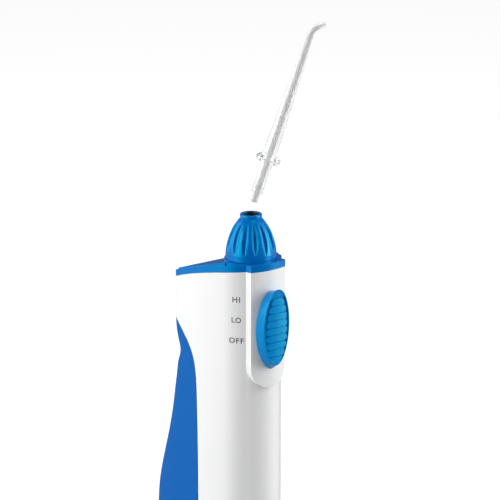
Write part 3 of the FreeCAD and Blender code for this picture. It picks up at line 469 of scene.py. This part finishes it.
def make_flute_tree():
    """Presses lens-shaped flutes into the outside of a turned dome."""
    tree, given, out = new_geometry_tree("finger_flutes", [
        ("Count", "NodeSocketInt"), ("Depth", "NodeSocketFloat"), ("Half Width", "NodeSocketFloat"),
        ("Low", "NodeSocketFloat"), ("High", "NodeSocketFloat"), ("Material", "NodeSocketMaterial")])
    place = tree.nodes.new("ShaderNodeSeparateXYZ")
    tree.links.new(tree.nodes.new("GeometryNodeInputPosition").outputs[0], place.inputs[0])
    x, y, z = place.outputs
    radius = math_node(tree, "SQRT", math_node(tree, "ADD", math_node(tree, "MULTIPLY", x, x),
                                               math_node(tree, "MULTIPLY", y, y)))
    turns = math_node(tree, "DIVIDE", math_node(tree, "ARCTAN2", y, x), 2 * math.pi)
    share = math_node(tree, "FRACT", math_node(tree, "ADD", math_node(tree, "MULTIPLY", turns,
                                                                    given.outputs["Count"]), 20.0))
    around = math_node(tree, "MULTIPLY", radius, 2 * math.pi)
    pitch = math_node(tree, "DIVIDE", around, given.outputs["Count"])
    aside = math_node(tree, "MULTIPLY", math_node(tree, "SUBTRACT", share, 0.5), pitch)
    both_ends = math_node(tree, "ADD", given.outputs["Low"], given.outputs["High"])
    middle = math_node(tree, "MULTIPLY", both_ends, 0.5)
    reach = math_node(tree, "MULTIPLY", math_node(tree, "SUBTRACT", given.outputs["High"],
                                                given.outputs["Low"]), 0.5)
    along = math_node(tree, "DIVIDE", math_node(tree, "SUBTRACT", z, middle), reach)
    taper = math_node(tree, "SUBTRACT", 1.0, math_node(tree, "MULTIPLY", along, along), clamp=True)
    width = math_node(tree, "ADD", math_node(tree, "MULTIPLY", given.outputs["Half Width"],
                                           math_node(tree, "POWER", taper, 0.75)), 1e-6)
    ratio = math_node(tree, "DIVIDE", aside, width)
    hollow = math_node(tree, "SUBTRACT", 1.0, math_node(tree, "MULTIPLY", ratio, ratio), clamp=True)
    sink = math_node(tree, "MULTIPLY", math_node(tree, "POWER", hollow, 0.6),
                     math_node(tree, "POWER", taper, 0.6))
    normal = tree.nodes.new("GeometryNodeInputNormal").outputs[0]
    parts = tree.nodes.new("ShaderNodeSeparateXYZ")
    tree.links.new(normal, parts.inputs[0])
    facing = math_node(tree, "ADD", math_node(tree, "MULTIPLY", parts.outputs[0], x),
                       math_node(tree, "MULTIPLY", parts.outputs[1], y))
    outside = math_node(tree, "GREATER_THAN", facing, 0.0)
    depth = math_node(tree, "MULTIPLY", math_node(tree, "MULTIPLY", sink, given.outputs["Depth"]), outside)
    push = tree.nodes.new("ShaderNodeVectorMath")
    push.operation = "SCALE"
    tree.links.new(normal, push.inputs[0])
    tree.links.new(math_node(tree, "MULTIPLY", depth, -1.0), push.inputs["Scale"])
    press = tree.nodes.new("GeometryNodeSetPosition")
    tree.links.new(given.outputs["Geometry"], press.inputs["Geometry"])
    tree.links.new(push.outputs[0], press.inputs["Offset"])
    finish_tree(tree, given, out, press.outputs["Geometry"])
    return tree


dome_loop = [tuple(p) for p in smooth_path(DOME, DOME_STEPS)] + list(LIP) + list(INSIDE)
collar = turned_ring("fluted_collar", dome_loop, FLUTE_COUNT * FLUTE_FACETS, collar_low.z)
face_outwards(collar.data)
run_tree(collar, make_flute_tree(), {
    "Count": FLUTE_COUNT, "Depth": 1.25 * MM, "Half Width": 1.75 * MM, "Low": collar_low.z + 3.9 * MM,
    "High": collar_low.z + 20.0 * MM, "Material": blue_abs})
collar.data.shade_smooth()
collar.data.set_sharp_from_angle(angle=math.radians(42))
stand_for(collar, "tip_collar", "collar", blue_abs)
# The inner wall of the mouth is painted near-black: painted shade, as the bore lies in shadow.
mouth_shade_material = moulded("painted_mouth_shade", (0.012, 0.03, 0.05), (0.03, 0.05, 0.07), (0.10, 0.14, 0.18),
                      (0.30, 0.45), 1500.0, 0.25, {"IOR": 1.48})
collar.data.materials.append(mouth_shade_material)
for face in collar.data.polygons:
    if math.hypot(face.center.x, face.center.y) < 4.45 * MM:
        face.material_index = 1

# ------------------------------------------------------------------ jet tip
# Loose jet tip in natural translucent polypropylene: a stub with a snap groove, a flange, and a
# long tapering tube bent at its nozzle. It leans above the collar's mouth.

tip_natural = moulded("tip_natural", (0.955, 0.96, 0.96), (0.925, 0.93, 0.93), (0.97, 0.97, 0.97),
                      (0.06, 0.14), 1200.0, 0.05,
                      {"IOR": 1.36, "Transmission Weight": 0.90, "Specular IOR Level": 0.4})
# The walls of the bore are painted grey: painted shade for the dark core line seen through the clear tube.
bore_painted_shade = moulded("bore_painted_shade", (0.48, 0.48, 0.485), (0.42, 0.42, 0.425), (0.56, 0.56, 0.56),
                    (0.35, 0.50), 1400.0, 0.2, {"IOR": 1.45})

tip = welded("jet_tip", "loose_jet_tip")
soften(tip, 0.12 * MM, 35, 2)
stand_for(tip, "jet_tip", "tip", tip_natural)

# Faces that look across the bore take the painted shade.
BORE_WIDTH = 2.6
JUST_OFF = 0.02
tip.data.materials.append(bore_painted_shade)
tip_surface = BVHTree.FromPolygons([v.co for v in tip.data.vertices],
                                   [tuple(f.vertices) for f in tip.data.polygons])
for face in tip.data.polygons:
    across = tip_surface.ray_cast(face.center + face.normal * JUST_OFF * MM, face.normal,
                                  BORE_WIDTH * MM)
    if across[0] is not None:
        face.material_index = 1

# ------------------------------------------------------------------ thumb switch
# Oval sliding button in blue ABS: a drafted skirt, a narrow rim and a sunken field of nine
# shingled ribs for the thumb. It slides up the raised panel on a stem through the slot.

PANEL_FRONT_Y = -18.4
PANEL_BOW = 24.6
BUTTON_Z = 150.7
BUTTON_FOOT = (9.3, -23.3, 20.9)
BUTTON_FACE = (8.55, -20.2, 23.2)
BUTTON_PROUD = 5.75
BUTTON_CROWN = 45.0
BUTTON_LEAN = math.tan(math.radians(2.0))
FIELD_DROP = 1.15
AROUND = 160
RIB_COUNT = 9
RIB_PITCH = 4.14
RIB_MIDDLE = -0.6


# The switch's blue is a lighter copy of the cap's blue: painted light for the brighter light on the switch's
# face.
thumb_abs_painted_lit = moulded("thumb_abs_painted_lit", (0.0, 0.225, 0.62), (0.0, 0.190, 0.56), (0.0, 0.36, 0.78),
                    (0.22, 0.32), 800.0, 0.05, BLUE_SHINE)


def button_edge(share, inset, turn):
    """Point (x, z) of the button's outline between its foot (0) and its face (1)."""
    half, low, high = (a + share * (b - a) for a, b in zip(BUTTON_FOOT, BUTTON_FACE))
    half, low, high = half - inset, low + inset, high - inset
    x = half * math.copysign(abs(math.cos(turn)) ** 1.06, math.cos(turn))
    return x, BUTTON_Z + (low + high) / 2 + (high - low) / 2 * math.sin(turn)


def field_drop(z):
    """Depth of the field under the face: full under the ribs, rising to a dish above them."""
    rise = min(max((z - BUTTON_Z - 16.6) / 2.2, 0.0), 1.0)
    return FIELD_DROP + (0.45 - FIELD_DROP) * rise * rise * (3 - 2 * rise)


def face_y(x, z):
    """Crowned, leaning face of the button."""
    return PANEL_FRONT_Y - BUTTON_PROUD + x * x / (2 * BUTTON_CROWN) - BUTTON_LEAN * (z - BUTTON_Z)


def panel_y(x):
    return PANEL_FRONT_Y + PANEL_BOW - math.sqrt(PANEL_BOW ** 2 - x * x)


def button_ring(share, inset, depth, scale=1.0):
    """One closed loop: depth below the face, on the field ("field") or on the panel ("panel")."""
    ring = []
    middle = BUTTON_Z + (BUTTON_FACE[1] + BUTTON_FACE[2]) / 2
    for k in range(AROUND):
        x, z = button_edge(share, inset, 2 * math.pi * k / AROUND)
        x, z = x * scale, middle + (z - middle) * scale
        if depth == "panel":
            y = panel_y(x) - 0.32
        else:
            y = face_y(x, z) + (field_drop(z) if depth == "field" else depth)
        ring.append((x * MM, y * MM, z * MM))
    return ring


def button_mesh():
    rings = [button_ring(0.0, 0.0, "panel", s) for s in (0.05, 0.35, 0.7, 0.9)]
    rings += [button_ring(0.0, 0.0, "panel"), button_ring(0.55, 0.0, BUTTON_PROUD * 0.42)]
    rings += [button_ring(0.95, 0.0, 0.42), button_ring(0.99, 0.03, 0.2), button_ring(1.0, 0.14, 0.05),
              button_ring(1.0, 0.30, 0.0), button_ring(1.0, 0.62, 0.0), button_ring(1.0, 0.76, 0.06),
              button_ring(1.0, 0.86, 0.25), button_ring(1.0, 0.92, "field")]
    rings += [button_ring(1.0, 1.0, "field", s) for s in (0.99, 0.94, 0.88, 0.82, 0.75, 0.6, 0.4, 0.2, 0.02)]
    points = [p for ring in rings for p in ring]
    faces = []
    for r in range(len(rings) - 1):
        for k in range(AROUND):
            j = (k + 1) % AROUND
            faces.append((r * AROUND + k, r * AROUND + j, (r + 1) * AROUND + j, (r + 1) * AROUND + k))
    faces.append(tuple(reversed(range(AROUND))))
    faces.append(tuple(range((len(rings) - 1) * AROUND, len(rings) * AROUND)))
    mesh = bpy.data.meshes.new("thumb_switch")
    mesh.from_pydata(points, [], faces)
    mesh.validate()
    face_outwards(mesh)
    return mesh


def make_rib_tree():
    """Shingled ribs: wedges on a line, cut to the oval's width, laid on the crowned face."""
    tree, given, out = new_geometry_tree("thumb_ribs", [
        ("Count", "NodeSocketInt"), ("Pitch", "NodeSocketFloat"), ("Half Width", "NodeSocketFloat"),
        ("Half Height", "NodeSocketFloat"), ("End Radius", "NodeSocketFloat"), ("Step", "NodeSocketFloat"),
        ("Centre", "NodeSocketVector"),
        ("Crown", "NodeSocketFloat"), ("Lean", "NodeSocketFloat"), ("Material", "NodeSocketMaterial")])
    bar = tree.nodes.new("GeometryNodeMeshCube")
    bar.inputs["Vertices X"].default_value = 33
    bar.inputs["Vertices Y"].default_value = 3
    bar.inputs["Vertices Z"].default_value = 9
    size = tree.nodes.new("ShaderNodeCombineXYZ")
    size.inputs[0].default_value = 2.0
    tree.links.new(given.outputs["Step"], size.inputs[1])
    tree.links.new(math_node(tree, "MULTIPLY", given.outputs["Pitch"], 0.87), size.inputs[2])
    tree.links.new(size.outputs[0], bar.inputs["Size"])
    line = tree.nodes.new("GeometryNodeMeshLine")
    tree.links.new(given.outputs["Count"], line.inputs["Count"])
    spacing = tree.nodes.new("ShaderNodeCombineXYZ")
    tree.links.new(given.outputs["Pitch"], spacing.inputs[2])
    tree.links.new(spacing.outputs[0], line.inputs["Offset"])
    steps = math_node(tree, "MULTIPLY", math_node(tree, "SUBTRACT", given.outputs["Count"], 1.0), -0.5)
    first = tree.nodes.new("ShaderNodeCombineXYZ")
    tree.links.new(math_node(tree, "MULTIPLY", steps, given.outputs["Pitch"]), first.inputs[2])
    tree.links.new(first.outputs[0], line.inputs["Start Location"])
    copies = tree.nodes.new("GeometryNodeInstanceOnPoints")
    tree.links.new(line.outputs["Mesh"], copies.inputs["Points"])
    tree.links.new(bar.outputs["Mesh"], copies.inputs["Instance"])
    real = tree.nodes.new("GeometryNodeRealizeInstances")
    tree.links.new(copies.outputs[0], real.inputs["Geometry"])
    place = tree.nodes.new("ShaderNodeSeparateXYZ")
    tree.links.new(tree.nodes.new("GeometryNodeInputPosition").outputs[0], place.inputs[0])
    x, y, z = place.outputs
    tall = math_node(tree, "DIVIDE", z, given.outputs["Half Height"])
    room = math_node(tree, "SQRT", math_node(tree, "SUBTRACT", 1.0, math_node(tree, "MULTIPLY", tall, tall),
                                            clamp=True))
    level = math_node(tree, "DIVIDE", math_node(tree, "SUBTRACT", z, math_node(
        tree, "MULTIPLY", steps, given.outputs["Pitch"])), given.outputs["Pitch"])
    saw = math_node(tree, "FRACT", math_node(tree, "ADD", level, 0.5))
    swing = math_node(tree, "SUBTRACT", math_node(tree, "MULTIPLY", saw, 2.2), 1.1)
    lost = math_node(tree, "SUBTRACT", 1.0, math_node(tree, "SQRT", math_node(
        tree, "SUBTRACT", 1.0, math_node(tree, "MULTIPLY", swing, swing), clamp=True)))
    half = math_node(tree, "SUBTRACT", math_node(tree, "MULTIPLY", given.outputs["Half Width"], room),
                     math_node(tree, "MULTIPLY", lost, given.outputs["End Radius"]))
    wide = math_node(tree, "MULTIPLY", x, math_node(tree, "MAXIMUM", half, 0.0002))
    rise = math_node(tree, "MULTIPLY", math_node(tree, "MULTIPLY", saw, given.outputs["Step"]), 0.4)
    near = math_node(tree, "LESS_THAN", y, 0.0)
    bow = math_node(tree, "DIVIDE", math_node(tree, "MULTIPLY", wide, wide), given.outputs["Crown"])
    back = math_node(tree, "ADD", y, math_node(tree, "MULTIPLY", near, rise))
    back = math_node(tree, "ADD", back, math_node(tree, "MULTIPLY", bow, 0.5))
    back = math_node(tree, "SUBTRACT", back, math_node(tree, "MULTIPLY", z, given.outputs["Lean"]))
    moved = tree.nodes.new("ShaderNodeCombineXYZ")
    for socket, value in zip(moved.inputs, (wide, back, z)):
        tree.links.new(value, socket)
    centred = tree.nodes.new("ShaderNodeVectorMath")
    tree.links.new(moved.outputs[0], centred.inputs[0])
    tree.links.new(given.outputs["Centre"], centred.inputs[1])
    lay = tree.nodes.new("GeometryNodeSetPosition")
    tree.links.new(real.outputs["Geometry"], lay.inputs["Geometry"])
    tree.links.new(centred.outputs[0], lay.inputs["Position"])
    finish_tree(tree, given, out, lay.outputs["Geometry"])
    return tree


button = link(bpy.data.objects.new("thumb_switch", button_mesh()))
button.data.shade_smooth()
button.data.set_sharp_from_angle(angle=math.radians(50))
stand_for(button, "slide_switch", "switch", thumb_abs_painted_lit)

rib_seat = Vector((0, face_y(0, BUTTON_Z + RIB_MIDDLE) + FIELD_DROP * 0.55, BUTTON_Z + RIB_MIDDLE)) * MM
ribs = link(bpy.data.objects.new("thumb_ribs", bpy.data.meshes.new("rib_seed")))
run_tree(ribs, make_rib_tree(), {
    "Count": RIB_COUNT, "Pitch": RIB_PITCH * MM, "Half Width": 7.15 * MM, "Half Height": 20.6 * MM,
    "End Radius": 2.0 * MM, "Step": 1.1 * MM, "Centre": rib_seat, "Crown": BUTTON_CROWN * MM,
    "Lean": BUTTON_LEAN, "Material": thumb_abs_painted_lit})
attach(ribs, "switch")

# ------------------------------------------------------------------ reservoir and fill door
# Water tank moulded in dark tinted blue, flush with the housing's flanks, with a bulging back and
# a finger notch at its top. Its small fill door hinges on two ears in the rear skin.

tank_abs = moulded("tank_blue", (0.0, 0.116, 0.47), (0.0, 0.104, 0.43), (0.0, 0.20, 0.58),
                   (0.18, 0.28), 600.0, 0.05, dict(BLUE_SHINE, **{"Specular IOR Level": 0.35}))

for node, name, body, width in (("reservoir", "water_tank", "tank", 0.6),
                                ("fill_door", "tank_door", "door", 0.25)):
    shell = welded(node, name)
    soften(shell, width * MM)
    stand_for(shell, node, body, tank_abs)

# ------------------------------------------------------------------ inner pieces
# Everything behind the shells keeps its made shape and gets the finish of its own material:
# acetal running parts, steel screws and shafts, silicone seals and hoses, cells and board.


def finish_nodes(slot, material):
    """Gives the material to every shown node that the record lists under the slot."""
    for part in frame["record"]["subparts"]:
        obj = frame["nodes"][part["node"]]
        if part["material_slot"] != slot or obj.hide_render:
            continue
        obj.data.materials.clear()
        obj.data.materials.append(material)


grey_acetal = moulded("grey_acetal", (0.30, 0.31, 0.33), (0.25, 0.26, 0.28), (0.40, 0.41, 0.43),
                      (0.35, 0.55), 1500.0, 0.2, {"IOR": 1.48})
white_acetal = moulded("white_acetal", (0.80, 0.80, 0.78), (0.74, 0.74, 0.72), (0.86, 0.86, 0.85),
                       (0.28, 0.45), 1500.0, 0.15, {"IOR": 1.48, "Subsurface Weight": 0.08})
soft_silicone = moulded("soft_silicone", (0.15, 0.15, 0.16), (0.19, 0.19, 0.20), (0.26, 0.26, 0.27),
                        (0.55, 0.75), 2200.0, 0.3, {"IOR": 1.42, "Sheen Weight": 0.15})
clear_silicone = moulded("clear_silicone", (0.78, 0.80, 0.81), (0.72, 0.74, 0.75), (0.86, 0.87, 0.88),
                         (0.30, 0.45), 1400.0, 0.15, {"IOR": 1.42, "Transmission Weight": 0.35})
black_moulding = moulded("black_moulding", (0.022, 0.022, 0.024), (0.035, 0.035, 0.037), (0.08, 0.08, 0.08),
                         (0.30, 0.45), 1300.0, 0.2, {"IOR": 1.5})
cell_sleeve = moulded("cell_sleeve", (0.05, 0.27, 0.11), (0.04, 0.22, 0.09), (0.12, 0.38, 0.18),
                      (0.22, 0.40), 350.0, 0.35, {"IOR": 1.5})
for slot, material in (("grey_acetal", grey_acetal), ("white_acetal", white_acetal),
                       ("soft_grey", soft_silicone), ("clear_hose", clear_silicone),
                       ("black_moulding", black_moulding),
                       ("cell_sleeve", cell_sleeve)):
    finish_nodes(slot, material)


def drawn_metal(name, light, dark, rough, streak):
    """Metal with fine streaks along Z and a slow change of tone."""
    material = moulded(name, light, dark, light, rough, 900.0, 0.12, {"Metallic": 1.0})
    tree = material.node_tree
    stretch = tree.nodes.new("ShaderNodeMapping")
    stretch.inputs["Scale"].default_value = (streak, streak, 1.0)
    tree.links.new(tree.nodes.new("ShaderNodeTexCoord").outputs["Object"], stretch.inputs["Vector"])
    lines = noise(tree, stretch.outputs["Vector"], 60.0, 4.0)
    relief = next(n for n in tree.nodes if n.bl_idname == "ShaderNodeBump")
    tree.links.new(lines, relief.inputs["Height"])
    return material


finish_nodes("steel", drawn_metal("plated_steel", (0.60, 0.60, 0.61), (0.50, 0.50, 0.52), (0.22, 0.38), 40.0))
finish_nodes("brass", drawn_metal("turned_brass", (0.78, 0.58, 0.25), (0.68, 0.48, 0.18), (0.20, 0.35), 25.0))

# ------------------------------------------------------------------ circuit board finish
# Fibreglass board under green solder mask, with the copper tracks showing through as a lighter
# pattern of straight runs.


def board_material():
    material = moulded("solder_mask", (0.012, 0.13, 0.045), (0.016, 0.16, 0.06), (0.10, 0.20, 0.10),
                       (0.20, 0.35), 900.0, 0.15, {"IOR": 1.5})
    tree = material.node_tree
    shader = tree.nodes["Principled BSDF"]
    coords = tree.nodes.new("ShaderNodeTexCoord").outputs["Object"]
    turn = tree.nodes.new("ShaderNodeMapping")
    turn.inputs["Rotation"].default_value = (math.radians(90), 0, 0)
    tracks = tree.nodes.new("ShaderNodeTexBrick")
    tracks.inputs["Scale"].default_value = 260.0
    tracks.inputs["Mortar Size"].default_value = 0.06
    tracks.inputs["Color1"].default_value = (0, 0, 0, 1)
    tracks.inputs["Color2"].default_value = (0, 0, 0, 1)
    tracks.inputs["Mortar"].default_value = (1, 1, 1, 1)
    blend = tree.nodes.new("ShaderNodeMix")
    blend.data_type = "RGBA"
    blend.inputs[7].default_value = (0.05, 0.30, 0.10, 1)
    tree.links.new(coords, turn.inputs["Vector"])
    tree.links.new(turn.outputs["Vector"], tracks.inputs["Vector"])
    tree.links.new(shader.inputs["Base Color"].links[0].from_socket, blend.inputs[6])
    tree.links.new(tracks.outputs["Color"], blend.inputs[0])
    tree.links.new(blend.outputs[2], shader.inputs["Base Color"])
    return material


finish_nodes("board_green", board_material())
